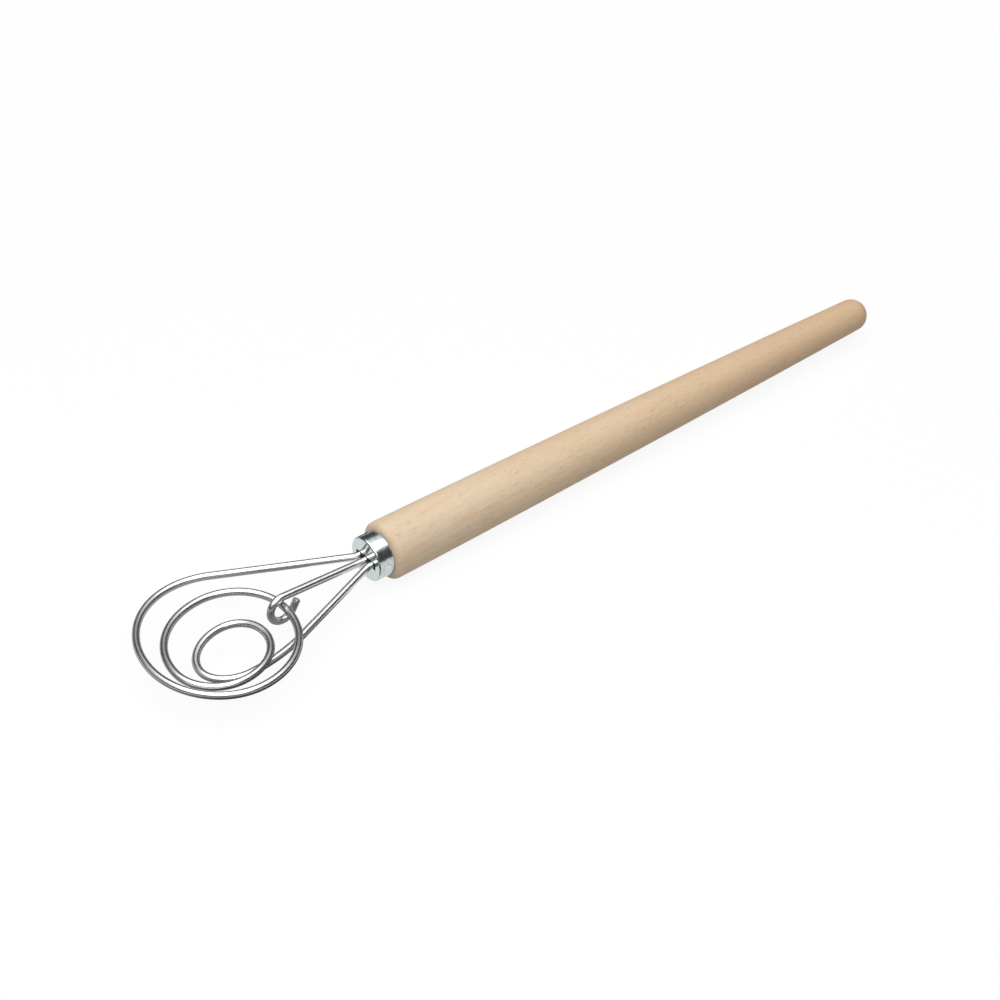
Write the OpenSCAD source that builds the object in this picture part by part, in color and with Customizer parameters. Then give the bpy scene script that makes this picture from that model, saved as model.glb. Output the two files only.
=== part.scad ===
// Dough whisk: a long turned beech handle, a drawn steel ferrule with a slot in its face, one long
// wire wound into three loops inside one another, and a middle wire whose open eye holds the loops.
// X runs along the whisk towards the handle's tip, Y across the loops and Z up from the table.

/* [Handle] */
// Length of bare wood, from the back of the ferrule to the tip
handle_l = 274; // [180:1:320]
// Diameter of the handle at its shoulder, where it is thickest
handle_d = 24.6; // [22:0.1:30]
// Diameter of the handle just before its rounded tip
tip_d = 14.6; // [10:0.1:20]
// How far the taper swells beyond a straight cone, halfway along
handle_swell = 0.5; // [0:0.1:1.5]
// Radius of the rounded shoulder beside the ferrule
shoulder_r = 2.6; // [0.8:0.1:3]
// Room between the outer strands and the wall of the blind bore that takes them
bore_room = 0.7; // [0.3:0.05:1.2]
// Room in that bore beyond the ends of the wires
bore_end_room = 3; // [1:0.5:10]

/* [Ferrule] */
// Outside diameter of the ferrule
ferrule_d = 19; // [18:0.1:21]
// Length of the ferrule along the whisk
ferrule_l = 7.2; // [5:0.1:14]
// Thickness of the sheet that the ferrule is drawn from
ferrule_t = 0.7; // [0.4:0.05:1]
// Radius of the rounded edge round the ferrule's face
ferrule_edge_r = 0.8; // [0.3:0.05:1.2]
// Height of the slot above the whisk's axis
slot_rise = 1.2; // [0:0.1:1.4]

/* [Wire] */
// Diameter of the round wire
wire_d = 3.1; // [2.4:0.05:3.3]
// Distance between neighbouring strands in the slot
strand_pitch = 4.1; // [3.8:0.05:4.2]
// Length of each strand inside the whisk, from the ferrule's face
tail_l = 31; // [15:1:60]
// Distance in front of the ferrule at which the strands splay
splay_reach = 4.8; // [3:0.1:8]
// Radius of that bend, on the middle of the wire
splay_r = 5; // [3:0.1:8]

/* [Outer loop] */
// Distance from the ferrule's face to the middle of the wire at the loop's far end
outer_reach = 99.3; // [96:0.1:110]
// Width of the outer loop between the middles of its two sides
outer_w = 68.6; // [66:0.1:76]
// Distance from the ferrule's face to the widest place
outer_belly = 69.5; // [66:0.1:73]
// How far the widest place leans forward on one side and back on the other
outer_lean = 2; // [-3:0.1:4]
// Radius of the bend that leads in from the first strand
lead_in_r = 31.9; // [24:0.1:34]

/* [Middle loop] */
// Distance from the ferrule's face to the place where the outer loop becomes the middle one
eye_reach = 40.9; // [38:0.1:43]
// Distance of that place from the whisk's axis
eye_side = -2.1; // [-4:0.1:2]
// Distance from the ferrule's face to the middle of the wire at the loop's far end
middle_reach = 93.3; // [91:0.1:95]
// Width of the middle loop between the middles of its two sides
middle_w = 48; // [46:0.1:50]
// Distance from the ferrule's face to its widest place
middle_belly = 69.5; // [67:0.1:72]
// Distance of the middle loop's centre from the whisk's axis
middle_shift = -3.2; // [-4:0.1:-2]
// How far its widest place leans forward on one side and back on the other
middle_lean = 5.8; // [3:0.1:7]

/* [Inner loop] */
// Distance from the ferrule's face to the middle of the wire at the loop's far end
inner_reach = 83.9; // [81:0.1:86]
// Distance from the ferrule's face to the middle of the wire at its near end
inner_near = 54.9; // [52:0.1:58]
// Width of the inner loop between the middles of its two sides
inner_w = 26.7; // [24:0.1:29]
// Distance from the ferrule's face to its widest place
inner_belly = 67.5; // [66:0.1:70]
// Distance of the inner loop's centre from the whisk's axis
inner_shift = -9; // [-10:0.1:-8]
// How far its widest place leans forward on one side and back on the other
inner_lean = 2.1; // [0:0.1:4]
// Share of the drop to the last turn that is made by the loop's first side
inner_drop = 0.6; // [0.55:0.05:0.7]
// Radius of the bend that leads out to the last strand
lead_out_r = 75; // [60:1:90]

/* [Eye] */
// Clear diameter inside the middle wire's eye
eye_bore = 7.9; // [7.4:0.1:10]
// Turn of the eye, in degrees
eye_turn = 242; // [200:1:260]
// Length of the straight cut end after the eye
eye_end_l = 4.6; // [1:0.1:6]
// Distance from the eye's centre to the whisk's axis
eye_shift = -1.4; // [-3:0.1:1]

/* [Fits] */
// Gap between strands that cross
lap_gap = 0.25; // [0.15:0.05:0.6]
// Gap between the looped wire and the top of the eye round it
eye_gap = 0.6; // [0.2:0.1:1]
// Gap between wood, ferrule, adhesive and wire where they fit together
fit_gap = 0.05; // [0.02:0.01:0.15]
// Play of the wires across the slot
slot_play = 0.5; // [0.3:0.05:0.6]
// Room in the slot beside the outer strands
slot_end = 0.5; // [0.2:0.1:0.8]

/* [Hidden] */
$fn = 96;
wire_sides = 16;
quarter_steps = 14;
bend_steps = 5;
eye_steps = 26;
taper_steps = 20;
shoulder_steps = 6;
tip_steps = 10;
handle_r = handle_d / 2;
tip_r = tip_d / 2;
tip_x = ferrule_l + handle_l;
// The shoulder's rounding stays within the step from the ferrule up to the handle
round_r = min(shoulder_r, handle_r - ferrule_d / 2);
taper_x = ferrule_l + round_r;
taper_l = tip_x - tip_r - taper_x;
tenon_x = ferrule_t + fit_gap;
tenon_r = ferrule_d / 2 - ferrule_t - fit_gap;
bore_r = norm([strand_pitch, slot_rise]) + wire_d / 2 + bore_room;
bore_depth = tail_l + bore_end_room;
slot_w = 2 * strand_pitch + wire_d + 2 * slot_end;
slot_h = wire_d + slot_play;
middle_x = (tip_x - outer_reach - wire_d / 2) / 2;
// The outer and middle loops lie at the height of the whisk's axis, the last turn one wire below
lap_drop = wire_d + lap_gap;
eye_r = (eye_bore + wire_d) / 2;
eye_z = eye_gap + wire_d - eye_r;
brown = [0.86, 0.74, 0.58];
steel = [0.76, 0.77, 0.78];
zinc = [0.68, 0.70, 0.72];
amber = [0.80, 0.66, 0.38];

// Where each loop turns: its side away from the last strand, its far end and its other side
function near_top(belly, shift, w, lean, z) = [lean - belly, shift + w / 2, z];
function far_end(reach, belly, shift, w, lean, z) = [-reach, shift - lean * w / 2 / (reach - belly), z];
function near_bottom(belly, shift, w, lean, z) = [-lean - belly, shift - w / 2, z];
turns = [
    near_top(outer_belly, 0, outer_w, outer_lean, 0),
    far_end(outer_reach, outer_belly, 0, outer_w, outer_lean, 0),
    near_bottom(outer_belly, 0, outer_w, outer_lean, 0),
    [-eye_reach, eye_side, 0],
    near_top(middle_belly, middle_shift, middle_w, middle_lean, 0),
    far_end(middle_reach, middle_belly, middle_shift, middle_w, middle_lean, 0),
    near_bottom(middle_belly, middle_shift, middle_w, middle_lean, 0),
    [-inner_near, inner_shift, 0],
    near_top(inner_belly, inner_shift, inner_w, inner_lean, -inner_drop * lap_drop),
    far_end(inner_reach, inner_belly, inner_shift, inner_w, inner_lean, -lap_drop),
    near_bottom(inner_belly, inner_shift, inner_w, inner_lean, -lap_drop)
];

function unit(v) = v / norm(v);
function flat(p) = [p.x, p.y];

// Quarter of an ellipse from p to q, less its last point; it leaves p along X or along Y
function quarter(p, q, along_x) = [
    for (i = [0 : quarter_steps - 1])
        let (a = 90 * i / quarter_steps, z = p.z + (q.z - p.z) * (1 - cos(2 * a)) / 2)
        along_x
            ? [p.x + (q.x - p.x) * sin(a), q.y + (p.y - q.y) * cos(a), z]
            : [q.x + (p.x - q.x) * cos(a), p.y + (q.y - p.y) * sin(a), z]
];

// Angle at which a line from point p touches the circle of radius r round c
function touch_angle(p, c, r, side) =
    let (d = p - c)
    atan2(d.y, d.x) + side * acos(r / norm(d));

// Arc of radius r round c, level at height z
function level_arc(c, r, a0, a1, steps, z) = [
    for (i = [0 : steps])
        let (a = a0 + (a1 - a0) * i / steps)
        [c.x + r * cos(a), c.y + r * sin(a), z]
];

// Arc of radius r that rounds the corner c between points a and b
function bend(a, c, b, r) =
    let (
        u = unit(a - c),
        v = unit(b - c),
        half = acos(u * v) / 2,
        centre = c + unit(u + v) * r / sin(half),
        s = c + u * r / tan(half) - centre,
        e = c + v * r / tan(half) - centre,
        m = unit(e - s * (e * s) / (s * s)) * r,
        turn = 180 - 2 * half
    )
    [for (i = [0 : bend_steps]) centre + cos(turn * i / bend_steps) * s + sin(turn * i / bend_steps) * m];

// Round bar of the wire's diameter along a path; ref is a direction that the path never takes
module wire_along(path, ref) {
    last = len(path) - 1;
    rings = [
        for (i = [0 : last])
            let (
                t = unit(path[min(i + 1, last)] - path[max(i - 1, 0)]),
                s = unit(cross(ref, t)),
                u = cross(t, s)
            )
            for (k = [0 : wire_sides - 1])
                let (a = 360 * k / wire_sides)
                path[i] + wire_d / 2 * (cos(a) * s + sin(a) * u)
    ];
    sides = [
        for (i = [0 : last - 1], k = [0 : wire_sides - 1])
            let (
                a = i * wire_sides + k,
                b = i * wire_sides + (k + 1) % wire_sides,
                c = b + wire_sides,
                d = a + wire_sides
            )
            each [[a, d, b], [b, d, c]]
    ];
    first_cap = [for (k = [1 : wire_sides - 2]) [0, k, k + 1]];
    last_cap = [for (k = [1 : wire_sides - 2]) last * wire_sides * [1, 1, 1] + [0, k + 1, k]];
    polyhedron(points = rings, faces = concat(sides, first_cap, last_cap));
}

// Parts are drawn with the ferrule's face at the origin and stood on the table here
module place() {
    translate([-middle_x, 0, handle_r]) children();
}

module turned(profile) {
    rotate([0, 90, 0]) rotate_extrude() polygon(profile);
}

module handle() {
    shoulder = [
        for (i = [0 : shoulder_steps])
            let (a = 90 * i / shoulder_steps)
            [handle_r - round_r * (1 - sin(a)), taper_x - round_r * cos(a)]
    ];
    taper = [
        for (i = [1 : taper_steps])
            let (t = i / taper_steps)
            [handle_r + (tip_r - handle_r) * t + 4 * handle_swell * t * (1 - t), taper_x + taper_l * t]
    ];
    tip = [
        for (i = [1 : tip_steps])
            let (a = 90 * i / tip_steps)
            [tip_r * cos(a), tip_x - tip_r + tip_r * sin(a)]
    ];
    tenon = [[tenon_r, tenon_x], [tenon_r, ferrule_l]];
    bore = [[0, bore_depth], [bore_r, bore_depth], [bore_r, tenon_x]];
    color(brown) place() turned(concat(tenon, shoulder, taper, tip, bore));
}

module ferrule() {
    outer_r = ferrule_d / 2;
    inner_r = outer_r - ferrule_t;
    edge = [
        for (i = [0 : shoulder_steps])
            let (a = 90 * i / shoulder_steps)
            [outer_r - ferrule_edge_r * (1 - sin(a)), ferrule_edge_r * (1 - cos(a))]
    ];
    cup = [[outer_r, ferrule_l], [inner_r, ferrule_l], [inner_r, ferrule_t], [0, ferrule_t], [0, 0]];
    color(zinc) place() difference() {
        turned(concat(edge, cup));
        translate([0, 0, slot_rise]) cube([3 * ferrule_t, slot_w, slot_h], center = true);
    }
}

module adhesive_plug() {
    plug_l = bore_depth - fit_gap - tenon_x;
    color(amber) place() difference() {
        translate([tenon_x, 0, 0]) rotate([0, 90, 0]) cylinder(h = plug_l, r = bore_r - fit_gap);
        for (side = [-1 : 1])
            translate([0, side * strand_pitch, slot_rise]) rotate([0, 90, 0])
                cylinder(h = tail_l + fit_gap, d = wire_d + 2 * fit_gap);
    }
}

module loop_wire() {
    first = turns[0];
    last = turns[len(turns) - 1];
    in_corner = [-splay_reach, strand_pitch, slot_rise];
    out_corner = [-splay_reach, -strand_pitch, slot_rise];
    in_tail = [tail_l, strand_pitch, slot_rise];
    out_tail = [tail_l, -strand_pitch, slot_rise];
    in_centre = flat(first) - [0, lead_in_r];
    out_centre = flat(last) + [0, lead_out_r];
    in_angle = touch_angle(flat(in_corner), in_centre, lead_in_r, 1);
    out_angle = touch_angle(flat(out_corner), out_centre, lead_out_r, -1);
    lead_in = level_arc(in_centre, lead_in_r, in_angle, 90 - 90 / quarter_steps, bend_steps, first.z);
    lead_out = level_arc(out_centre, lead_out_r, -90, out_angle, bend_steps, last.z);
    loops = [
        for (i = [0 : len(turns) - 2])
            each quarter(turns[i], turns[i + 1], i % 2 == 0)
    ];
    path = concat(
        [in_tail],
        bend(in_tail, in_corner, lead_in[0], splay_r),
        lead_in,
        loops,
        lead_out,
        bend(lead_out[bend_steps], out_corner, out_tail, splay_r),
        [out_tail]
    );
    color(steel) place() wire_along(path, [0, 0, 1]);
}

module eye_wire() {
    tail = [tail_l, 0, slot_rise];
    corner = [-splay_reach, 0, slot_rise];
    centre = [-eye_reach, eye_shift, eye_z];
    // The eye lies in the upright plane through its centre and the corner
    out = unit(flat(corner) - flat(centre));
    side = [norm(flat(corner) - flat(centre)), corner.z - centre.z];
    start = touch_angle(side, [0, 0], eye_r, 1);
    arc = [
        for (i = [0 : eye_steps])
            let (a = start + eye_turn * i / eye_steps)
            centre + eye_r * [cos(a) * out.x, cos(a) * out.y, sin(a)]
    ];
    leave = start + eye_turn + 90;
    end = arc[eye_steps] + eye_end_l * [cos(leave) * out.x, cos(leave) * out.y, sin(leave)];
    path = concat([tail], bend(tail, corner, arc[0], splay_r), arc, [end]);
    color(steel) place() wire_along(path, [-out.y, out.x, 0]);
}

handle();
ferrule();
adhesive_plug();
loop_wire();
eye_wire();
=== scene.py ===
import math

import bmesh
import bpy
from mathutils import Matrix, Vector


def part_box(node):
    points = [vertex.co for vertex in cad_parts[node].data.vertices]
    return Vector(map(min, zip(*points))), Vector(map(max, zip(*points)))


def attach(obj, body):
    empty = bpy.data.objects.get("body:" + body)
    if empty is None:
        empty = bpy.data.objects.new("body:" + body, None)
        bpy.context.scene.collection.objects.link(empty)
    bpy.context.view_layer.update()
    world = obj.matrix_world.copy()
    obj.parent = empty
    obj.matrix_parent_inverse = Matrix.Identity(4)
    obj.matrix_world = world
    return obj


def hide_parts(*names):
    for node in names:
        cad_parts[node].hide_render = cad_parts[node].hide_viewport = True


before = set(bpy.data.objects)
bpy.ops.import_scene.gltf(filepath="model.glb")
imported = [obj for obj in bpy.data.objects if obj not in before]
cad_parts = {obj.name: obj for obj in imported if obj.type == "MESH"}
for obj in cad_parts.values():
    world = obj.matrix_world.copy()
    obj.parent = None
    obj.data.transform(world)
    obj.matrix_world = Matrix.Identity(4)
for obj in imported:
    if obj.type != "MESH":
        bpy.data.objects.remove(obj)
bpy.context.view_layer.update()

bl_info = {
    "name": "Dough whisk",
    "version": (1, 0, 0),
    "blender": (4, 5, 0),
    "location": "View3D > Sidebar > Dough whisk",
    "description": "Finishes a dough whisk: turned beech handle, steel ferrule and looped wires",
    "category": "Object",
}

MM = 0.001
BODY = "root"
handle_low, handle_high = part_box("handle")
ferrule_low, ferrule_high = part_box("ferrule")
# Middle of the ferrule's face: every piece is drawn from here, with X towards the handle's tip
FACE = Vector((ferrule_low.x, 0, (ferrule_low.z + ferrule_high.z) / 2))
# The widest that a round handle on that axis can be inside the CAD box
HANDLE_D = 2 * min(handle_high.z - FACE.z, FACE.z - handle_low.z)

# How finely the pieces are drawn
TURNED_SIDES = 192
WIRE_SIDES = 40
QUARTER_STEPS = 56
BEND_STEPS = 16
EYE_STEPS = 90
ROUND_STEPS = 14
TAPER_STEPS = 60
SHARP_ANGLE = math.radians(30)


def length(name, description, metres):
    """A size that the sidebar shows with its unit."""
    return bpy.props.FloatProperty(
        name=name, description=description, default=metres, unit="LENGTH", precision=5
    )


def spot(name, description, metres):
    """A place in the scene."""
    return bpy.props.FloatVectorProperty(
        name=name, description=description, default=metres, size=3, subtype="TRANSLATION", unit="LENGTH"
    )


def angle(name, description, degrees):
    """An angle, given in degrees."""
    return bpy.props.FloatProperty(
        name=name, description=description, default=math.radians(degrees), subtype="ANGLE"
    )


def colour(name, description, value):
    """A colour that the sidebar shows as a swatch."""
    return bpy.props.FloatVectorProperty(
        name=name, description=description, default=value, size=3, subtype="COLOR", min=0, max=1
    )


def number(name, description, value):
    """A plain number, whose description gives its unit."""
    return bpy.props.FloatProperty(name=name, description=description, default=value, min=0)


def share(name, description, value):
    """A plain number from 0 to 1."""
    return bpy.props.FloatProperty(
        name=name, description=description, default=value, subtype="FACTOR", min=0, max=1
    )


class HandleSizes(bpy.types.PropertyGroup):
    handle_d: length("Shoulder diameter", "Diameter where the handle is thickest", HANDLE_D)
    tip_x: length("Tip", "Distance from the ferrule's face to the tip", handle_high.x - ferrule_low.x)
    tip_d: length("Tip diameter", "Diameter just before the rounded tip", 14.6 * MM)
    swell: length("Swell", "How far the taper swells beyond a straight cone, halfway along", 0.5 * MM)
    shoulder_r: length("Shoulder rounding", "Radius of the rounded shoulder beside the ferrule", 2.6 * MM)
    bore_room: length("Bore room", "Room between the outer strands and the wall of the bore", 0.7 * MM)
    bore_end_room: length("Bore end room", "Room in the bore beyond the ends of the wires", 3 * MM)


class FerruleSizes(bpy.types.PropertyGroup):
    ferrule_d: length("Diameter", "Outside diameter of the ferrule", ferrule_high.z - ferrule_low.z)
    ferrule_l: length("Length", "Length of the ferrule along the whisk", ferrule_high.x - ferrule_low.x)
    ferrule_t: length("Sheet", "Thickness of the sheet that the ferrule is drawn from", 0.7 * MM)
    edge_r: length("Edge rounding", "Radius of the rounded edge round the face", 0.8 * MM)
    # The CAD model has the slot 1.2 mm higher than this
    slot_rise: length("Slot height", "Height of the slot above the whisk's axis", 0)
    slot_play: length("Slot play", "Play of the wires across the slot", 0.5 * MM)
    slot_end: length("Slot end", "Room in the slot beside the outer strands", 0.5 * MM)
    fit_gap: length("Fit gap", "Gap between wood, ferrule, adhesive and wire", 0.05 * MM)


class WireSizes(bpy.types.PropertyGroup):
    wire_d: length("Wire diameter", "Diameter of the round wire", 3.1 * MM)
    strand_pitch: length("Strand pitch", "Distance between neighbouring strands in the slot", 4.1 * MM)
    tail_l: length("Tail", "Length of each strand inside the whisk", 31 * MM)
    # The CAD model splays the strands farther out, at 4.8 mm, with a radius of 5 mm
    splay_reach: length("Splay reach", "Distance from the ferrule's face to the strands' bends", 2.2 * MM)
    splay_r: length("Splay radius", "Radius of those bends, on the middle of the wire", 3 * MM)
    lap_gap: length("Lap gap", "Gap between strands that cross", 0.25 * MM)
    cut_chamfer: length("Cut edge", "Width of the blunted edge round a cut end", 0.18 * MM)
    lead_in_r: length("Lead-in radius", "Radius of the bend that leads in from the first strand", 31.9 * MM)
    lead_out_r: length("Lead-out radius", "Radius of the bend that leads out to the last strand", 75 * MM)


class OuterLoopSizes(bpy.types.PropertyGroup):
    reach: length("Reach", "Distance from the ferrule's face to the loop's far end", 99.3 * MM)
    width: length("Width", "Width between the middles of the loop's two sides", 68.6 * MM)
    belly: length("Belly", "Distance from the ferrule's face to the widest place", 69.5 * MM)
    lean: length("Lean", "How far the widest place leans forward on one side", 2 * MM)


class MiddleLoopSizes(bpy.types.PropertyGroup):
    near: length("Near end", "Distance to the place where the outer loop becomes this one", 40.9 * MM)
    near_side: length("Near end's side", "Distance of that place from the whisk's axis", -2.1 * MM)
    reach: length("Reach", "Distance from the ferrule's face to the loop's far end", 93.3 * MM)
    width: length("Width", "Width between the middles of the loop's two sides", 48 * MM)
    belly: length("Belly", "Distance from the ferrule's face to the widest place", 69.5 * MM)
    shift: length("Shift", "Distance of the loop's centre from the whisk's axis", -3.2 * MM)
    lean: length("Lean", "How far the widest place leans forward on one side", 5.8 * MM)


class InnerLoopSizes(bpy.types.PropertyGroup):
    near: length("Near end", "Distance from the ferrule's face to the loop's near end", 54.9 * MM)
    reach: length("Reach", "Distance from the ferrule's face to the loop's far end", 83.9 * MM)
    width: length("Width", "Width between the middles of the loop's two sides", 26.7 * MM)
    belly: length("Belly", "Distance from the ferrule's face to the widest place", 67.5 * MM)
    shift: length("Shift", "Distance of the loop's centre from the whisk's axis", -9 * MM)
    lean: length("Lean", "How far the widest place leans forward on one side", 2.1 * MM)
    drop: share("Drop", "Share of the drop to the last turn made by the loop's first side", 0.6)


class EyeSizes(bpy.types.PropertyGroup):
    bore: length("Bore", "Clear diameter inside the middle wire's eye", 7.9 * MM)
    turn: angle("Turn", "Turn of the eye", 242)
    end_l: length("Cut end", "Length of the straight cut end after the eye", 4.6 * MM)
    shift: length("Shift", "Distance from the eye's centre to the whisk's axis", -1.4 * MM)
    gap: length("Gap", "Gap between the looped wire and the top of the eye", 0.6 * MM)


class Finishes(bpy.types.PropertyGroup):
    beech_pale: colour("Pale beech", "Early wood near the ferrule", (0.83, 0.68, 0.50))
    beech_tan: colour("Tan beech", "Late wood near the ferrule", (0.73, 0.55, 0.37))
    beech_warm: colour("Warm beech", "Wood near the tip", (0.70, 0.48, 0.29))
    beech_orange: colour("Orange beech", "Faint patches along the grain", (0.74, 0.46, 0.26))
    beech_fleck: colour("Beech fleck", "Short dashes along the grain", (0.42, 0.25, 0.14))
    wire: colour("Wire", "Polished stainless steel", (0.66, 0.65, 0.64))
    wire_dull: colour("Dulled wire", "Steel where it is less polished", (0.50, 0.49, 0.48))
    plate: colour("Plating", "Bright plated steel", (0.60, 0.67, 0.66))
    plate_dull: colour("Dulled plating", "Mottled places on the ferrule's side", (0.28, 0.27, 0.32))
    # The resin's near-black is painted shade: it stands for the dark inside the ferrule's slot
    adhesive: colour("Adhesive", "Cured resin in the bore", (0.030, 0.026, 0.024))
    adhesive_dust: colour("Adhesive dust", "Paler places on the resin", (0.07, 0.06, 0.05))


class StageSizes(bpy.types.PropertyGroup):
    azimuth: angle("Camera turn", "Angle of the view from the Y axis", 39.475)
    elevation: angle("Camera height", "Angle at which the camera looks down", 37.935)
    depth: length("Camera depth", "Distance to the ferrule's face along the view", 860.44 * MM)
    across: length("Camera across", "How far left of the view's middle the face lies", 52.49 * MM)
    below: length("Camera below", "How far below the view's middle the face lies", 23.35 * MM)
    lens: number("Lens", "Focal length in millimetres", 79.2)
    sensor_w: number("Sensor width", "Width of the camera's sensor in millimetres", 36)
    fill: share("Fill", "Strength of the light from all round", 0.08)
    paper: share("Paper", "How pale the floor is to the light on it", 0.55)
    floor_glow: share("Floor glow", "Share of the floor's look near the whisk that takes no shadow", 0.91)
    shadow_reach: length("Shadow reach", "Distance up to which the floor keeps its whole shadow", 0.3)
    white_reach: length("White reach", "Distance from which the floor is plain white", 1.2)
    softbox_w: length("Softbox width", "Width of the light overhead", 1.8)
    softbox_place: spot("Softbox place", "Middle of the light overhead", (-0.25, -0.15, 1.25))
    softbox_aim: spot("Softbox aim", "Place that the light overhead faces", (-0.05, 0, 0))
    softbox_power: number("Softbox power", "Power of the light overhead in watts", 25)
    card_shade: share("Card shade", "Brightness of the dark cards, which only reflections show", 0.07)
    card_distance: length("Card distance", "Distance of the upright cards from the whisk", 1.15)


class WhiskSettings(bpy.types.PropertyGroup):
    handle: bpy.props.PointerProperty(type=HandleSizes, name="Handle", description="Sizes of the handle")
    ferrule: bpy.props.PointerProperty(type=FerruleSizes, name="Ferrule", description="Sizes of the ferrule")
    wire: bpy.props.PointerProperty(type=WireSizes, name="Wire", description="Sizes of the wire")
    outer: bpy.props.PointerProperty(type=OuterLoopSizes, name="Outer loop", description="Outer loop")
    middle: bpy.props.PointerProperty(type=MiddleLoopSizes, name="Middle loop", description="Middle loop")
    inner: bpy.props.PointerProperty(type=InnerLoopSizes, name="Inner loop", description="Inner loop")
    eye: bpy.props.PointerProperty(type=EyeSizes, name="Eye", description="Eye of the middle wire")
    finish: bpy.props.PointerProperty(type=Finishes, name="Finishes", description="Colours of the whisk")
    stage: bpy.props.PointerProperty(type=StageSizes, name="Stage", description="Camera, light and floor")


# Meshes


def sharpen(bm):
    """Smooth faces, with a crisp edge wherever the surface turns sharply."""
    bmesh.ops.recalc_face_normals(bm, faces=bm.faces)
    for face in bm.faces:
        face.smooth = True
    for edge in bm.edges:
        if len(edge.link_faces) == 2:
            edge.smooth = edge.calc_face_angle() < SHARP_ANGLE


def add_piece(name, bm, slot, *nodes):
    """Puts a finished mesh in the scene in place of CAD nodes; it moves with the whisk's only body."""
    sharpen(bm)
    mesh = bpy.data.meshes.new(name)
    bm.to_mesh(mesh)
    bm.free()
    piece = bpy.data.objects.new(name, mesh)
    bpy.context.scene.collection.objects.link(piece)
    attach(piece, BODY)
    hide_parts(*nodes)
    return piece


def turned(outline):
    """Solid turned round the whisk's axis from (radius, distance) points that start and end on it."""
    bm = bmesh.new()
    first = bm.verts.new(FACE + Vector((outline[0][1], 0, 0)))
    last = bm.verts.new(FACE + Vector((outline[-1][1], 0, 0)))
    rings = []
    for radius, x in outline[1:-1]:
        ring = []
        for k in range(TURNED_SIDES):
            turn = 2 * math.pi * k / TURNED_SIDES
            ring.append(bm.verts.new(FACE + Vector((x, radius * math.cos(turn), radius * math.sin(turn)))))
        rings.append(ring)
    for k in range(TURNED_SIDES):
        n = (k + 1) % TURNED_SIDES
        bm.faces.new((first, rings[0][k], rings[0][n]))
        bm.faces.new((last, rings[-1][n], rings[-1][k]))
        for a, b in zip(rings, rings[1:]):
            bm.faces.new((a[k], b[k], b[n], a[n]))
    return bm


def cut_away(piece, bm):
    """Cuts the solid in bm out of a piece."""
    mesh = bpy.data.meshes.new("cutter")
    bm.to_mesh(mesh)
    bm.free()
    cutter = bpy.data.objects.new("cutter", mesh)
    bpy.context.scene.collection.objects.link(cutter)
    cut = piece.modifiers.new("cut", "BOOLEAN")
    cut.object = cutter
    cut.operation = "DIFFERENCE"
    cut.solver = "EXACT"
    shown = piece.evaluated_get(bpy.context.evaluated_depsgraph_get())
    made = bpy.data.meshes.new_from_object(shown)
    piece.modifiers.clear()
    bpy.data.objects.remove(cutter)
    bm = bmesh.new()
    bm.from_mesh(made)
    sharpen(bm)
    bm.to_mesh(made)
    bm.free()
    made.name = piece.name
    made.materials.clear()
    piece.data = made


def wire_along(path, ref, diameter, chamfer):
    """Round bar along a path, with blunted cut ends; ref is a direction that the path never takes."""
    last = len(path) - 1
    radius = diameter / 2
    tangents = [(path[min(i + 1, last)] - path[max(i - 1, 0)]).normalized() for i in range(last + 1)]
    stations = [(path[0], tangents[0], radius - chamfer)]
    stations.append((path[0] + tangents[0] * chamfer, tangents[0], radius))
    stations += [(path[i], tangents[i], radius) for i in range(1, last)]
    stations.append((path[last] - tangents[last] * chamfer, tangents[last], radius))
    stations.append((path[last], tangents[last], radius - chamfer))
    bm = bmesh.new()
    uv = bm.loops.layers.uv.new("along_and_round")
    rings = []
    run = [0.0]
    for i, (centre, tangent, ring_r) in enumerate(stations):
        side = ref.cross(tangent).normalized()
        up = tangent.cross(side)
        ring = []
        for k in range(WIRE_SIDES):
            turn = 2 * math.pi * k / WIRE_SIDES
            ring.append(bm.verts.new(centre + ring_r * (math.cos(turn) * side + math.sin(turn) * up)))
        rings.append(ring)
        if i:
            run.append(run[-1] + (centre - stations[i - 1][0]).length)
    girth = math.pi * diameter
    for i in range(len(rings) - 1):
        for k in range(WIRE_SIDES):
            corners = ((i, k), (i, k + 1), (i + 1, k + 1), (i + 1, k))
            face = bm.faces.new([rings[a][b % WIRE_SIDES] for a, b in corners])
            for loop, (a, b) in zip(face.loops, corners):
                loop[uv].uv = (run[a], girth * b / WIRE_SIDES)
    bm.faces.new(list(reversed(rings[0])))
    bm.faces.new(rings[-1])
    return bm


# Paths of the wires, from the ferrule's face: the same loops as in the CAD model, in finer steps


def plus_side(belly, shift, width, lean, z):
    """Where a loop is widest towards +Y."""
    return Vector((lean - belly, shift + width / 2, z))


def far_end(reach, belly, shift, width, lean, z):
    """Where a loop reaches farthest from the ferrule; a lean moves that place sideways."""
    return Vector((-reach, shift - lean * width / 2 / (reach - belly), z))


def minus_side(belly, shift, width, lean, z):
    """Where a loop is widest towards -Y."""
    return Vector((-lean - belly, shift - width / 2, z))


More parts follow.
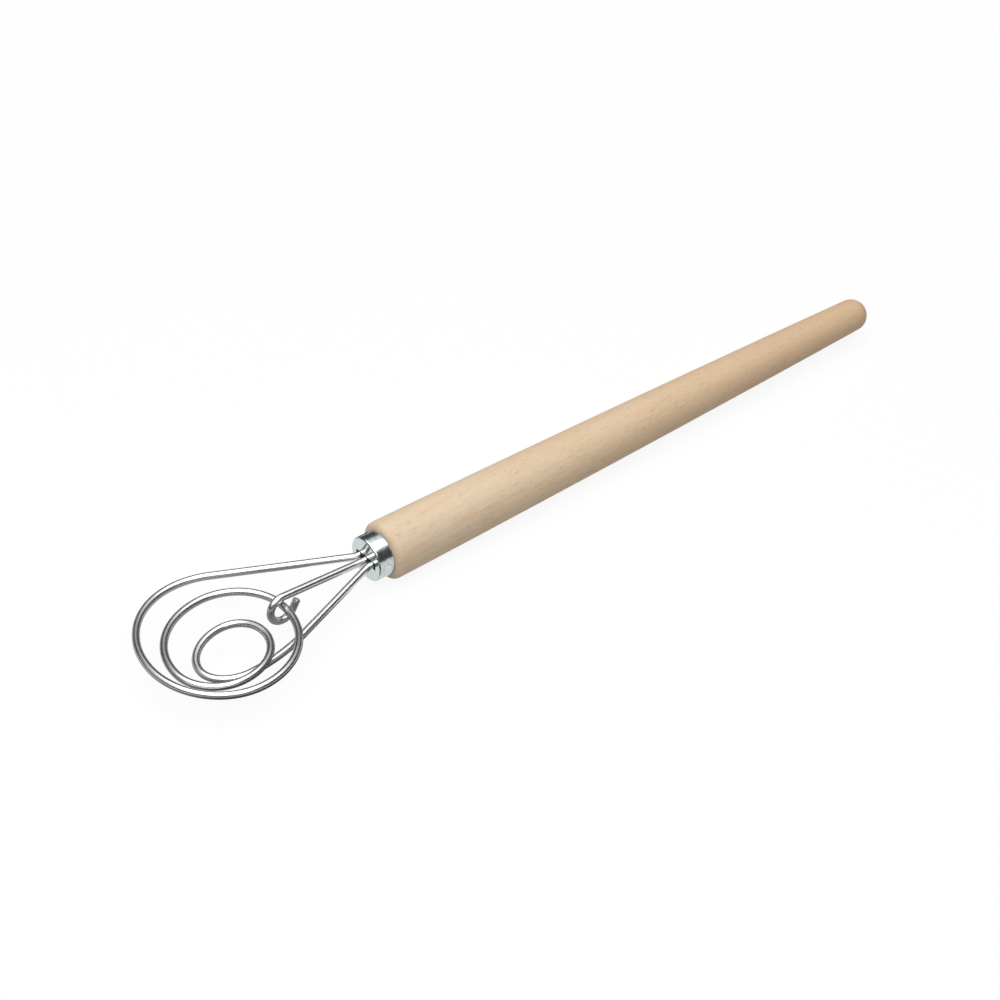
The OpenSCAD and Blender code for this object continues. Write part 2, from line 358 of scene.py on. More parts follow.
def turning_points(settings):
    """Side, far end and side of each loop in turn, with the next one's near end between."""
    outer = settings.outer
    middle = settings.middle
    inner = settings.inner
    drop = settings.wire.wire_d + settings.wire.lap_gap
    return [
        plus_side(outer.belly, 0, outer.width, outer.lean, 0),
        far_end(outer.reach, outer.belly, 0, outer.width, outer.lean, 0),
        minus_side(outer.belly, 0, outer.width, outer.lean, 0),
        Vector((-middle.near, middle.near_side, 0)),
        plus_side(middle.belly, middle.shift, middle.width, middle.lean, 0),
        far_end(middle.reach, middle.belly, middle.shift, middle.width, middle.lean, 0),
        minus_side(middle.belly, middle.shift, middle.width, middle.lean, 0),
        Vector((-inner.near, inner.shift, 0)),
        plus_side(inner.belly, inner.shift, inner.width, inner.lean, -inner.drop * drop),
        far_end(inner.reach, inner.belly, inner.shift, inner.width, inner.lean, -drop),
        minus_side(inner.belly, inner.shift, inner.width, inner.lean, -drop),
    ]


def quarter(p, q, along_x):
    """Quarter of an ellipse from p to q, less its last point; it leaves p along X or along Y."""
    points = []
    for i in range(QUARTER_STEPS):
        a = math.pi / 2 * i / QUARTER_STEPS
        z = p.z + (q.z - p.z) * (1 - math.cos(2 * a)) / 2
        if along_x:
            points.append(Vector((p.x + (q.x - p.x) * math.sin(a), q.y + (p.y - q.y) * math.cos(a), z)))
        else:
            points.append(Vector((q.x + (p.x - q.x) * math.cos(a), p.y + (q.y - p.y) * math.sin(a), z)))
    return points


def touch_angle(x, y, radius, side):
    """Angle at which a line from (x, y) touches the circle of that radius round the origin."""
    return math.atan2(y, x) + side * math.acos(radius / math.hypot(x, y))


def level_arc(centre, radius, start, end, z):
    """Arc at one height, from a start angle to an end angle."""
    points = []
    for i in range(BEND_STEPS + 1):
        a = start + (end - start) * i / BEND_STEPS
        points.append(Vector((centre.x + radius * math.cos(a), centre.y + radius * math.sin(a), z)))
    return points


def bend(before, corner, after, radius):
    """Arc that rounds a corner between two straight stretches."""
    u = (before - corner).normalized()
    v = (after - corner).normalized()
    half = math.acos(u.dot(v)) / 2
    centre = corner + (u + v).normalized() * radius / math.sin(half)
    start = corner + u * radius / math.tan(half) - centre
    end = corner + v * radius / math.tan(half) - centre
    side = (end - start * (end.dot(start) / start.dot(start))).normalized() * radius
    turn = math.pi - 2 * half
    steps = [turn * i / BEND_STEPS for i in range(BEND_STEPS + 1)]
    return [centre + math.cos(a) * start + math.sin(a) * side for a in steps]


def loop_path(settings):
    """The long wire: in by the first strand, round the three loops and out by the last strand."""
    wire = settings.wire
    rise = settings.ferrule.slot_rise
    turns = turning_points(settings)
    first = turns[0]
    last = turns[-1]
    in_corner = Vector((-wire.splay_reach, wire.strand_pitch, rise))
    out_corner = Vector((-wire.splay_reach, -wire.strand_pitch, rise))
    in_tail = Vector((wire.tail_l, wire.strand_pitch, rise))
    out_tail = Vector((wire.tail_l, -wire.strand_pitch, rise))
    in_centre = Vector((first.x, first.y - wire.lead_in_r, 0))
    out_centre = Vector((last.x, last.y + wire.lead_out_r, 0))
    in_way = in_corner - in_centre
    out_way = out_corner - out_centre
    in_angle = touch_angle(in_way.x, in_way.y, wire.lead_in_r, 1)
    out_angle = touch_angle(out_way.x, out_way.y, wire.lead_out_r, -1)
    # The lead-in stops one step short of the point where the outer loop starts
    one_step = math.pi / 2 / QUARTER_STEPS
    lead_in = level_arc(in_centre, wire.lead_in_r, in_angle, math.pi / 2 - one_step, first.z)
    lead_out = level_arc(out_centre, wire.lead_out_r, -math.pi / 2, out_angle, last.z)
    path = [in_tail]
    path += bend(in_tail, in_corner, lead_in[0], wire.splay_r)
    path += lead_in
    for i in range(len(turns) - 1):
        path += quarter(turns[i], turns[i + 1], i % 2 == 0)
    path += lead_out
    path += bend(lead_out[-1], out_corner, out_tail, wire.splay_r)
    path.append(out_tail)
    return [FACE + point for point in path]


def eye_path(settings):
    """The middle wire, whose open eye stands upright round the long wire, and that eye's own axis."""
    wire = settings.wire
    eye = settings.eye
    rise = settings.ferrule.slot_rise
    eye_r = (eye.bore + wire.wire_d) / 2
    tail = Vector((wire.tail_l, 0, rise))
    corner = Vector((-wire.splay_reach, 0, rise))
    centre = Vector((-settings.middle.near, eye.shift, eye.gap + wire.wire_d - eye_r))
    out = Vector((corner.x - centre.x, corner.y - centre.y, 0))
    start = touch_angle(out.length, corner.z - centre.z, eye_r, 1)
    out.normalize()
    arc = []
    for i in range(EYE_STEPS + 1):
        a = start + eye.turn * i / EYE_STEPS
        arc.append(centre + eye_r * (math.cos(a) * out + Vector((0, 0, math.sin(a)))))
    leave = start + eye.turn + math.pi / 2
    end = arc[-1] + eye.end_l * (math.cos(leave) * out + Vector((0, 0, math.sin(leave))))
    path = [tail] + bend(tail, corner, arc[0], wire.splay_r) + arc + [end]
    return [FACE + point for point in path], Vector((-out.y, out.x, 0))


# Shader nodes


def add_node(tree, kind, values=None, **settings):
    """New node with its settings, and with values on its input sockets."""
    made = tree.nodes.new(kind)
    for key, value in settings.items():
        setattr(made, key, value)
    for key, value in (values or {}).items():
        made.inputs[key].default_value = value
    return made


def make_group(name, inputs, outputs):
    """Empty node group with named sockets, and its two ends."""
    tree = bpy.data.node_groups.new(name, "ShaderNodeTree")
    for label, kind, value in inputs:
        socket = tree.interface.new_socket(name=label, in_out="INPUT", socket_type=kind)
        socket.default_value = value
    for label in outputs:
        tree.interface.new_socket(name=label, in_out="OUTPUT", socket_type="NodeSocketFloat")
    return tree, tree.nodes.new("NodeGroupInput"), tree.nodes.new("NodeGroupOutput")


def long_marks():
    """Marks drawn out along one direction: fibres, drawing lines and turning lines."""
    found = bpy.data.node_groups.get("long_marks")
    if found:
        return found
    tree, start, end = make_group(
        "long_marks",
        (
            ("Vector", "NodeSocketVector", (0, 0, 0)),
            ("Marks per metre", "NodeSocketVector", (50, 2000, 2000)),
            ("Low", "NodeSocketFloat", 0.35),
            ("High", "NodeSocketFloat", 0.65),
        ),
        ("Mask",),
    )
    scaled = add_node(tree, "ShaderNodeVectorMath", operation="MULTIPLY")
    noise = add_node(tree, "ShaderNodeTexNoise", {"Scale": 1, "Detail": 3, "Roughness": 0.6})
    ranged = add_node(tree, "ShaderNodeMapRange")
    tree.links.new(start.outputs["Vector"], scaled.inputs[0])
    tree.links.new(start.outputs["Marks per metre"], scaled.inputs[1])
    tree.links.new(scaled.outputs[0], noise.inputs["Vector"])
    tree.links.new(noise.outputs["Fac"], ranged.inputs["Value"])
    tree.links.new(start.outputs["Low"], ranged.inputs["From Min"])
    tree.links.new(start.outputs["High"], ranged.inputs["From Max"])
    tree.links.new(ranged.outputs["Result"], end.inputs["Mask"])
    return tree


def soft_patches():
    """Cloudy patches of a given number per metre."""
    found = bpy.data.node_groups.get("soft_patches")
    if found:
        return found
    tree, start, end = make_group(
        "soft_patches",
        (
            ("Vector", "NodeSocketVector", (0, 0, 0)),
            ("Patches per metre", "NodeSocketFloat", 100),
            ("Low", "NodeSocketFloat", 0.35),
            ("High", "NodeSocketFloat", 0.65),
        ),
        ("Mask",),
    )
    noise = add_node(tree, "ShaderNodeTexNoise", {"Detail": 2, "Roughness": 0.5})
    ranged = add_node(tree, "ShaderNodeMapRange", interpolation_type="SMOOTHSTEP")
    tree.links.new(start.outputs["Vector"], noise.inputs["Vector"])
    tree.links.new(start.outputs["Patches per metre"], noise.inputs["Scale"])
    tree.links.new(noise.outputs["Fac"], ranged.inputs["Value"])
    tree.links.new(start.outputs["Low"], ranged.inputs["From Min"])
    tree.links.new(start.outputs["High"], ranged.inputs["From Max"])
    tree.links.new(ranged.outputs["Result"], end.inputs["Mask"])
    return tree


def add_mask(tree, group, vector, **values):
    """One use of a shared group; underscores in the names of its values stand for spaces."""
    made = add_node(tree, "ShaderNodeGroup", node_tree=group)
    for key, value in values.items():
        made.inputs[key.replace("_", " ")].default_value = value
    tree.links.new(vector, made.inputs["Vector"])
    return made.outputs["Mask"]


def mix_colours(tree, mask, a, b, most=1.0):
    """Colour a, going to b where the mask is 1, by at most the given share. Either may be a socket."""
    weight = add_node(tree, "ShaderNodeMath", {1: most}, operation="MULTIPLY")
    mixed = add_node(tree, "ShaderNodeMix", data_type="RGBA")
    tree.links.new(mask, weight.inputs[0])
    tree.links.new(weight.outputs[0], mixed.inputs["Factor"])
    for name, value in (("A", a), ("B", b)):
        socket = [s for s in mixed.inputs if s.name == name and s.type == "RGBA"][0]
        if isinstance(value, bpy.types.NodeSocket):
            tree.links.new(value, socket)
        else:
            socket.default_value = (*value, 1)
    return [s for s in mixed.outputs if s.type == "RGBA"][0]


def ranged_value(tree, mask, low, high):
    """The mask's 0 to 1 turned into low to high."""
    made = add_node(tree, "ShaderNodeMapRange", {"To Min": low, "To Max": high})
    tree.links.new(mask, made.inputs["Value"])
    return made.outputs["Result"]


def new_material(name, metallic, specular):
    """Material, its node tree and its Principled shader."""
    material = bpy.data.materials.new(name)
    material.use_nodes = True
    tree = material.node_tree
    shader = tree.nodes["Principled BSDF"]
    shader.inputs["Metallic"].default_value = metallic
    shader.inputs["Specular IOR Level"].default_value = specular
    return material, tree, shader


def add_bump(tree, shader, height, depth, strength):
    """Fine relief, whose depth is in metres."""
    bump = add_node(tree, "ShaderNodeBump", {"Strength": strength, "Distance": depth})
    tree.links.new(height, bump.inputs["Height"])
    tree.links.new(bump.outputs["Normal"], shader.inputs["Normal"])


# Finishes


def beech(finish):
    """Bare beech: growth bands, fibres, faint orange patches and the short darker flecks of its rays."""
    material, tree, shader = new_material("beech_bare", metallic=0, specular=0.18)
    place = add_node(tree, "ShaderNodeTexCoord").outputs["Object"]
    # Growth rings lie round a pith beside the handle, so they cross it in long bands
    pith = (0, -21 * MM, -34 * MM)
    ring_pitch = 3.1 * MM
    ring_wander = 3.4 * MM
    slant = 0.012
    from_pith = add_node(tree, "ShaderNodeVectorMath", {1: pith}, operation="SUBTRACT")
    across = add_node(tree, "ShaderNodeVectorMath", {1: (slant, 1, 1)}, operation="MULTIPLY")
    radius = add_node(tree, "ShaderNodeVectorMath", operation="LENGTH")
    tree.links.new(place, from_pith.inputs[0])
    tree.links.new(from_pith.outputs[0], across.inputs[0])
    tree.links.new(across.outputs[0], radius.inputs[0])
    wander = add_mask(tree, long_marks(), place, Marks_per_metre=(9, 70, 70), Low=0.2, High=0.8)
    wavy = add_node(tree, "ShaderNodeMath", {1: ring_wander}, operation="MULTIPLY_ADD")
    tree.links.new(wander, wavy.inputs[0])
    tree.links.new(radius.outputs["Value"], wavy.inputs[2])
    phase = add_node(tree, "ShaderNodeMath", {1: 2 * math.pi / ring_pitch}, operation="MULTIPLY")
    tree.links.new(wavy.outputs[0], phase.inputs[0])
    wave = add_node(tree, "ShaderNodeMath", operation="SINE")
    tree.links.new(phase.outputs[0], wave.inputs[0])
    bands = add_node(tree, "ShaderNodeMapRange", {"From Min": -1, "From Max": 1})
    tree.links.new(wave.outputs[0], bands.inputs["Value"])
    fibres = add_mask(tree, long_marks(), place, Marks_per_metre=(70, 2400, 2400), Low=0.32, High=0.68)
    flecks = add_mask(tree, long_marks(), place, Marks_per_metre=(260, 2300, 2300), Low=0.56, High=0.72)
    streaks = add_mask(tree, long_marks(), place, Marks_per_metre=(36, 210, 210), Low=0.52, High=0.72)
    clouds = add_mask(tree, soft_patches(), place, Patches_per_metre=26, Low=0.38, High=0.66)
    along = add_node(tree, "ShaderNodeSeparateXYZ")
    tree.links.new(place, along.inputs[0])
    ends = {"From Min": handle_low.x, "From Max": handle_high.x}
    to_tip = add_node(tree, "ShaderNodeMapRange", ends)
    tree.links.new(along.outputs["X"], to_tip.inputs["Value"])
    tone = mix_colours(tree, bands.outputs["Result"], finish.beech_pale, finish.beech_tan, most=0.24)
    tone = mix_colours(tree, clouds, tone, finish.beech_tan, most=0.30)
    tone = mix_colours(tree, fibres, tone, finish.beech_tan, most=0.30)
    tone = mix_colours(tree, to_tip.outputs["Result"], tone, finish.beech_warm, most=0.85)
    tone = mix_colours(tree, streaks, tone, finish.beech_orange, most=0.42)
    tone = mix_colours(tree, flecks, tone, finish.beech_fleck, most=0.50)
    tree.links.new(tone, shader.inputs["Base Color"])
    tree.links.new(ranged_value(tree, fibres, low=0.52, high=0.66), shader.inputs["Roughness"])
    add_bump(tree, shader, fibres, depth=0.03 * MM, strength=0.6)
    return material


def polished_wire(finish):
    """Stainless wire, polished, with faint lines along it from drawing."""
    material, tree, shader = new_material("wire_polished", metallic=1, specular=0.5)
    place = add_node(tree, "ShaderNodeTexCoord").outputs["UV"]
    lines = add_mask(tree, long_marks(), place, Marks_per_metre=(45, 5200, 1))
    dull = add_mask(tree, soft_patches(), place, Patches_per_metre=160, Low=0.45, High=0.70)
    tone = mix_colours(tree, dull, finish.wire, finish.wire_dull, most=0.5)
    tree.links.new(tone, shader.inputs["Base Color"])
    tree.links.new(ranged_value(tree, lines, low=0.20, high=0.30), shader.inputs["Roughness"])
    add_bump(tree, shader, lines, depth=0.003 * MM, strength=0.4)
    return material


def plated_face(finish):
    """The ferrule's flat end: bright plating, nearly a mirror."""
    material, tree, shader = new_material("ferrule_face_bright", metallic=1, specular=0.5)
    place = add_node(tree, "ShaderNodeTexCoord").outputs["Object"]
    haze = add_mask(tree, soft_patches(), place, Patches_per_metre=420)
    tone = mix_colours(tree, haze, finish.plate, finish.plate_dull, most=0.12)
    tree.links.new(tone, shader.inputs["Base Color"])
    tree.links.new(ranged_value(tree, haze, low=0.05, high=0.11), shader.inputs["Roughness"])
    return material


def plated_side(finish):
    """The ferrule's side: the same plating, mottled, with fine lines round it."""
    material, tree, shader = new_material("ferrule_side_mottled", metallic=1, specular=0.5)
    place = add_node(tree, "ShaderNodeTexCoord").outputs["Object"]
    mottle = add_mask(tree, soft_patches(), place, Patches_per_metre=1100, Low=0.38, High=0.62)
    lines = add_mask(tree, long_marks(), place, Marks_per_metre=(4200, 70, 70))
    tone = mix_colours(tree, mottle, finish.plate, finish.plate_dull, most=0.38)
    tree.links.new(tone, shader.inputs["Base Color"])
    tree.links.new(ranged_value(tree, lines, low=0.12, high=0.26), shader.inputs["Roughness"])
    add_bump(tree, shader, mottle, depth=0.02 * MM, strength=0.3)
    return material


def shade_dark_adhesive(finish):
    """Resin seen only through the ferrule's slot, painted near-black as the shade in that slot; its paler
    dust patches are random.
    """
    material, tree, shader = new_material("adhesive_shade_dark", metallic=0, specular=0.4)
    place = add_node(tree, "ShaderNodeTexCoord").outputs["Object"]
    dust = add_mask(tree, soft_patches(), place, Patches_per_metre=700)
    tone = mix_colours(tree, dust, finish.adhesive, finish.adhesive_dust, most=0.7)
    tree.links.new(tone, shader.inputs["Base Color"])
    tree.links.new(ranged_value(tree, dust, low=0.45, high=0.7), shader.inputs["Roughness"])
    return material


# Stage


def seen_directly(tree):
    """1 for what the camera sees, also in metal or through glass, and 0 for the light on the object."""
    rays = add_node(tree, "ShaderNodeLightPath")
    metal = add_node(tree, "ShaderNodeMath", operation="MAXIMUM")
    glass = add_node(tree, "ShaderNodeMath", operation="MAXIMUM")
    tree.links.new(rays.outputs["Is Camera Ray"], metal.inputs[0])
    tree.links.new(rays.outputs["Is Glossy Ray"], metal.inputs[1])
    tree.links.new(metal.outputs[0], glass.inputs[0])
    tree.links.new(rays.outputs["Is Transmission Ray"], glass.inputs[1])
    return glass.outputs[0]


def light_world(stage):
    """White all round to the eye, and a weak light from all round on the whisk."""
    world = bpy.data.worlds.new("studio")
    bpy.context.scene.world = world
    world.use_nodes = True
    tree = world.node_tree
    tree.nodes.clear()
    fill = add_node(tree, "ShaderNodeBackground", {"Color": (1, 1, 1, 1), "Strength": stage.fill})
    white = add_node(tree, "ShaderNodeBackground", {"Color": (1, 1, 1, 1), "Strength": 1})
    mixed = add_node(tree, "ShaderNodeMixShader")
    end = add_node(tree, "ShaderNodeOutputWorld")
    tree.links.new(seen_directly(tree), mixed.inputs["Fac"])
    tree.links.new(fill.outputs[0], mixed.inputs[1])
    tree.links.new(white.outputs[0], mixed.inputs[2])
    tree.links.new(mixed.outputs[0], end.inputs["Surface"])


def floor_material(stage):
    """White paper with a faint shadow, plain white far off, that throws less light up than it shows."""
    material = bpy.data.materials.new("floor_white")
    material.use_nodes = True
    tree = material.node_tree
    tree.nodes.clear()
    seen = seen_directly(tree)
    paper = add_node(tree, "ShaderNodeBsdfDiffuse")
    tree.links.new(mix_colours(tree, seen, (stage.paper,) * 3, (1, 1, 1)), paper.inputs["Color"])
    glow = add_node(tree, "ShaderNodeEmission", {"Color": (1, 1, 1, 1), "Strength": 1})
    distance = add_node(tree, "ShaderNodeVectorMath", operation="LENGTH")
    reach = {"From Min": stage.shadow_reach, "From Max": stage.white_reach}
    fade = add_node(tree, "ShaderNodeMapRange", {**reach, "To Min": stage.floor_glow, "To Max": 1})
    weight = add_node(tree, "ShaderNodeMath", operation="MULTIPLY")
    tree.links.new(add_node(tree, "ShaderNodeTexCoord").outputs["Object"], distance.inputs[0])
    tree.links.new(distance.outputs["Value"], fade.inputs["Value"])
    tree.links.new(fade.outputs["Result"], weight.inputs[1])
    mixed = add_node(tree, "ShaderNodeMixShader")
    end = add_node(tree, "ShaderNodeOutputMaterial")
    tree.links.new(seen, weight.inputs[0])
    tree.links.new(weight.outputs[0], mixed.inputs["Fac"])
    tree.links.new(paper.outputs[0], mixed.inputs[1])
    tree.links.new(glow.outputs[0], mixed.inputs[2])
    tree.links.new(mixed.outputs[0], end.inputs["Surface"])
    return material


def card_material(name, stage, axis, low, high):
    """Dark card, which fades to white between two places along one axis."""
    material = bpy.data.materials.new(name)
    material.use_nodes = True
    tree = material.node_tree
    tree.nodes.clear()
    place = add_node(tree, "ShaderNodeTexCoord").outputs["Object"]
    along = add_node(tree, "ShaderNodeSeparateXYZ")
    fade = add_node(tree, "ShaderNodeMapRange", {"From Min": low, "From Max": high})
    tree.links.new(place, along.inputs[0])
    tree.links.new(along.outputs[axis], fade.inputs["Value"])
    shade = stage.card_shade
    blue = 1.15 * shade
    tone = mix_colours(tree, fade.outputs["Result"], (shade, shade, blue), (1, 1, 1))
    glow = add_node(tree, "ShaderNodeEmission", {"Strength": 1})
    end = add_node(tree, "ShaderNodeOutputMaterial")
    tree.links.new(tone, glow.inputs["Color"])
    tree.links.new(glow.outputs[0], end.inputs["Surface"])
    return material


def add_card(name, bm, material):
    """Puts a card in the scene that only reflections show."""
    mesh = bpy.data.meshes.new(name)
    bm.to_mesh(mesh)
    bm.free()
    mesh.materials.append(material)
    card = bpy.data.objects.new(name, mesh)
    bpy.context.scene.collection.objects.link(card)
    card.visible_camera = False
    card.visible_diffuse = False
    card.visible_transmission = False
    card.visible_shadow = False


def upright_card(name, stage, middle, half_turn, low, high):
    """Curved card that stands round the whisk, dark up to a low angle and white from a high one."""
    steps = 48
    foot = 5 * MM
    distance = stage.card_distance
    top = distance * math.tan(high)
    bm = bmesh.new()
    rows = []
    for i in range(steps + 1):
        a = middle + half_turn * (2 * i / steps - 1)
        x = distance * math.sin(a)
        y = distance * math.cos(a)
        rows.append((bm.verts.new((x, y, foot)), bm.verts.new((x, y, top))))
    for a, b in zip(rows, rows[1:]):
        bm.faces.new((a[0], b[0], b[1], a[1]))
    add_card(name, bm, card_material(name, stage, "Z", distance * math.tan(low), top))


def flat_card(name, stage, outline, low, high):
    """Card that lies on the floor, dark up to a low Y and white from a high one."""
    lift = 1 * MM
    bm = bmesh.new()
    bm.faces.new([bm.verts.new((x, y, lift)) for x, y in outline])
    add_card(name, bm, card_material(name, stage, "Y", low, high))


def stand_cards(stage):
    """Three upright cards, side by side in a closed ring round the whisk; their angles are in degrees."""
    for name, middle, half_turn, low, high in (
        ("card_far", 40, 74, 38, 52),
        ("card_side", 148, 34, 44, 58),
        ("card_near", 254, 72, 20, 34),
    ):
        upright_card(name, stage, *map(math.radians, (middle, half_turn, low, high)))


def lay_cards(stage):
    """Flat cards under the loops, and behind the ferrule and the nearer half of the handle."""
    clear = 6 * MM
    # The ferrule's face reflects the floor beside it, so the card steps back there
    step_x = 20 * MM
    step_y = 5 * MM
    left = -240 * MM
    near = -90 * MM
    far = 80 * MM
    outline = (
        (left, near),
        (FACE.x - clear, near),
        (FACE.x - clear, -step_y),
        (FACE.x - step_x, step_y),
        (FACE.x - step_x, far),
        (left, far),
    )
    flat_card("card_under", stage, outline, low=-40 * MM, high=110 * MM)
    right = 50 * MM
    near = 12 * MM
    far = 140 * MM
    outline = ((FACE.x + clear, near), (right, near), (right, far), (FACE.x + clear, far))
    # Its fade would start only at its far edge, so it is dark all over
    flat_card("card_behind", stage, outline, low=far, high=2 * far)


def add_floor(material):
    """Square floor whose edge lies far beyond the place where it fades to white."""
    half = 30
    corners = [(-half, -half, 0), (half, -half, 0), (half, half, 0), (-half, half, 0)]
    mesh = bpy.data.meshes.new("floor")
    mesh.from_pydata(corners, [], [(0, 1, 2, 3)])
    mesh.materials.append(material)
    floor = bpy.data.objects.new("floor", mesh)
    bpy.context.scene.collection.objects.link(floor)


def add_softbox(stage):
    """Large square light overhead, which the camera doesn't show."""
    data = bpy.data.lights.new("softbox", "AREA")
    data.shape = "SQUARE"
    data.size = stage.softbox_w
    data.energy = stage.softbox_power
    lamp = bpy.data.objects.new("softbox", data)
    bpy.context.scene.collection.objects.link(lamp)
    lamp.location = stage.softbox_place
    aim = Vector(stage.softbox_aim) - lamp.location
    lamp.rotation_euler = aim.to_track_quat("-Z", "Y").to_euler()
    lamp.visible_camera = False


def add_camera(stage):
    """Camera placed by where it sees the middle of the ferrule's face."""
    a = stage.azimuth
    e = stage.elevation
    right = Vector((math.cos(a), -math.sin(a), 0))
    forward = Vector((math.sin(a) * math.cos(e), math.cos(a) * math.cos(e), -math.sin(e)))
    up = right.cross(forward)
    data = bpy.data.cameras.new("camera")
    data.lens = stage.lens
    data.sensor_width = stage.sensor_w
    camera = bpy.data.objects.new("camera", data)
    bpy.context.scene.collection.objects.link(camera)
    place = FACE + stage.across * right + stage.below * up - stage.depth * forward
    camera.matrix_world = Matrix.Translation(place) @ Matrix((right, up, -forward)).transposed().to_4x4()
    bpy.context.scene.camera = camera


# Operators


def bore_radius(settings):
    """Radius of the handle's bore, which leaves room round the outer strands."""
    wire = settings.wire
    outer_strand = math.hypot(wire.strand_pitch, settings.ferrule.slot_rise)
    return outer_strand + wire.wire_d / 2 + settings.handle.bore_room


class WHISK_OT_turn_handle(bpy.types.Operator):
    """Turn the beech handle, with its shoulder, taper, rounded tip and blind bore"""

    bl_idname = "whisk.turn_handle"
    bl_label = "Turn the handle"

    def execute(self, context):
        settings = context.scene.dough_whisk
        sizes = settings.handle
        ferrule = settings.ferrule
        wire = settings.wire
        handle_r = sizes.handle_d / 2
        tip_r = sizes.tip_d / 2
        taper_x = ferrule.ferrule_l + sizes.shoulder_r
        taper_l = sizes.tip_x - tip_r - taper_x
        tenon_x = ferrule.ferrule_t + ferrule.fit_gap
        tenon_r = ferrule.ferrule_d / 2 - tenon_x
        bore_r = bore_radius(settings)
        bore_x = wire.tail_l + sizes.bore_end_room
        outline = [(0, bore_x), (bore_r, bore_x), (bore_r, tenon_x), (tenon_r, tenon_x)]
        outline.append((tenon_r, ferrule.ferrule_l))
        for i in range(ROUND_STEPS + 1):
            a = math.pi / 2 * i / ROUND_STEPS
            radius = handle_r - sizes.shoulder_r * (1 - math.sin(a))
            outline.append((radius, taper_x - sizes.shoulder_r * math.cos(a)))
        for i in range(1, TAPER_STEPS + 1):
            t = i / TAPER_STEPS
            # The last term is nothing at both ends and the whole swell halfway along
            radius = handle_r + (tip_r - handle_r) * t + 4 * sizes.swell * t * (1 - t)
            outline.append((radius, taper_x + taper_l * t))
        for i in range(1, ROUND_STEPS):
            a = math.pi / 2 * i / ROUND_STEPS
            outline.append((tip_r * math.cos(a), sizes.tip_x - tip_r + tip_r * math.sin(a)))
        outline.append((0, sizes.tip_x))
        piece = add_piece("handle_turned", turned(outline), "beech", "handle")
        piece.data.materials.append(beech(settings.finish))
        return {"FINISHED"}


class WHISK_OT_draw_ferrule(bpy.types.Operator):
    """Draw the steel ferrule, with its rounded edge and the slot for the three strands"""

    bl_idname = "whisk.draw_ferrule"
    bl_label = "Draw the ferrule"

    def execute(self, context):
        settings = context.scene.dough_whisk
        sizes = settings.ferrule
        wire = settings.wire
        outer_r = sizes.ferrule_d / 2
        inner_r = outer_r - sizes.ferrule_t
        outline = [(0, 0)]
        for i in range(ROUND_STEPS + 1):
            a = math.pi / 2 * i / ROUND_STEPS
            radius = outer_r - sizes.edge_r * (1 - math.sin(a))
            outline.append((radius, sizes.edge_r * (1 - math.cos(a))))
        outline += [(outer_r, sizes.ferrule_l), (inner_r, sizes.ferrule_l)]
        outline += [(inner_r, sizes.ferrule_t), (0, sizes.ferrule_t)]
        piece = add_piece("ferrule_drawn", turned(outline), "ferrule_steel", "ferrule")
        self.cut_slot(piece, sizes, wire)
        piece.data.materials.append(plated_side(settings.finish))
        piece.data.materials.append(plated_face(settings.finish))
        # The bright finish ends where the edge has turned by this much from the flat face
        bright_until = math.radians(8)
        for polygon in piece.data.polygons:
            if polygon.normal.x < -math.cos(bright_until):
                polygon.material_index = 1
        return {"FINISHED"}

    def cut_slot(self, piece, sizes, wire):
        slot_w = 2 * wire.strand_pitch + wire.wire_d + 2 * sizes.slot_end
        slot_h = wire.wire_d + sizes.slot_play
        # Centred on the face and deep enough to pass through the sheet
        slot_l = 3 * sizes.ferrule_t
        bm = bmesh.new()
        bmesh.ops.create_cube(bm, size=1)
        bmesh.ops.scale(bm, vec=(slot_l, slot_w, slot_h), verts=bm.verts)
        bmesh.ops.translate(bm, vec=FACE + Vector((0, 0, sizes.slot_rise)), verts=bm.verts)
        cut_away(piece, bm)


class WHISK_OT_bend_wires(bpy.types.Operator):
    """Bend the long wire into its loops and the middle wire into its eye"""

    bl_idname = "whisk.bend_wires"
    bl_label = "Bend the wires"

    def execute(self, context):
        settings = context.scene.dough_whisk
        wire = settings.wire
        material = polished_wire(settings.finish)
        eye_points, eye_axis = eye_path(settings)
        for name, node, path, ref in (
            ("loop_wire_bent", "loop_wire", loop_path(settings), Vector((0, 0, 1))),
            ("eye_wire_bent", "eye_wire", eye_points, eye_axis),
        ):
            bm = wire_along(path, ref, wire.wire_d, wire.cut_chamfer)
            piece = add_piece(name, bm, "wire_steel", node)
            piece.data.materials.append(material)
        return {"FINISHED"}


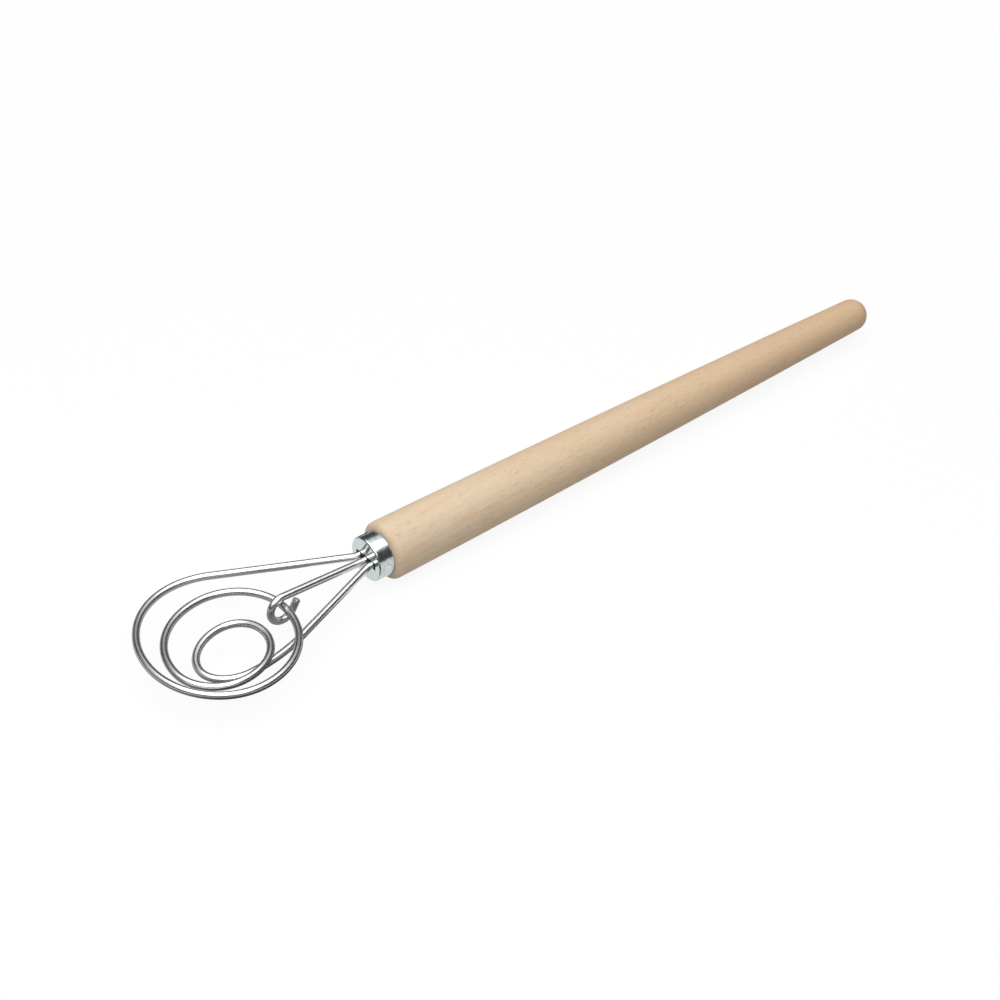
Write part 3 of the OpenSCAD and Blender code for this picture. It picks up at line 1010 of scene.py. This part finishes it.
class WHISK_OT_fill_bore(bpy.types.Operator):
    """Fill the bore round the three strands with resin, painted near-black as the shade in the ferrule's
    slot
    """

    bl_idname = "whisk.fill_bore"
    bl_label = "Fill the bore"

    def execute(self, context):
        settings = context.scene.dough_whisk
        ferrule = settings.ferrule
        wire = settings.wire
        gap = ferrule.fit_gap
        radius = bore_radius(settings) - gap
        start = ferrule.ferrule_t + gap
        end = wire.tail_l + settings.handle.bore_end_room - gap
        outline = [(0, start), (radius, start), (radius, end), (0, end)]
        piece = add_piece("adhesive_filled", turned(outline), "adhesive", "adhesive_plug")
        # Each hole starts well in front of the plug and ends one gap beyond the strand's end
        reach = Vector((wire.tail_l + gap, 0, 0))
        hole_d = wire.wire_d + 2 * gap
        for side in (-1, 0, 1):
            middle = FACE + Vector((0, side * wire.strand_pitch, ferrule.slot_rise))
            hole = wire_along([middle - reach, middle + reach], Vector((0, 0, 1)), hole_d, gap)
            cut_away(piece, hole)
        piece.data.materials.append(shade_dark_adhesive(settings.finish))
        return {"FINISHED"}


class WHISK_OT_set_stage(bpy.types.Operator):
    """Set the floor, the soft light, the dark cards and the camera"""

    bl_idname = "whisk.set_stage"
    bl_label = "Set the stage"

    def execute(self, context):
        stage = context.scene.dough_whisk.stage
        context.scene.view_settings.view_transform = "Standard"
        light_world(stage)
        add_floor(floor_material(stage))
        add_softbox(stage)
        stand_cards(stage)
        lay_cards(stage)
        add_camera(stage)
        return {"FINISHED"}


class WHISK_PT_sidebar(bpy.types.Panel):
    bl_label = "Dough whisk"
    bl_space_type = "VIEW_3D"
    bl_region_type = "UI"
    bl_category = "Dough whisk"

    def draw(self, context):
        settings = context.scene.dough_whisk
        for operator in OPERATORS:
            self.layout.operator(operator.bl_idname)
        for group in (
            settings.handle,
            settings.ferrule,
            settings.wire,
            settings.outer,
            settings.middle,
            settings.inner,
            settings.eye,
            settings.finish,
            settings.stage,
        ):
            box = self.layout.box()
            for name in group.bl_rna.properties.keys():
                if name not in ("rna_type", "name"):
                    box.prop(group, name)


GROUPS = (
    HandleSizes,
    FerruleSizes,
    WireSizes,
    OuterLoopSizes,
    MiddleLoopSizes,
    InnerLoopSizes,
    EyeSizes,
    Finishes,
    StageSizes,
    WhiskSettings,
)
OPERATORS = (
    WHISK_OT_turn_handle,
    WHISK_OT_draw_ferrule,
    WHISK_OT_bend_wires,
    WHISK_OT_fill_bore,
    WHISK_OT_set_stage,
)


def register():
    for cls in (*GROUPS, *OPERATORS, WHISK_PT_sidebar):
        bpy.utils.register_class(cls)
    bpy.types.Scene.dough_whisk = bpy.props.PointerProperty(type=WhiskSettings)


def unregister():
    del bpy.types.Scene.dough_whisk
    for cls in reversed((*GROUPS, *OPERATORS, WHISK_PT_sidebar)):
        bpy.utils.unregister_class(cls)


def main():
    register()
    bpy.ops.whisk.turn_handle()
    bpy.ops.whisk.draw_ferrule()
    bpy.ops.whisk.bend_wires()
    bpy.ops.whisk.fill_bore()
    bpy.ops.whisk.set_stage()


if __name__ == "__main__":
    main()
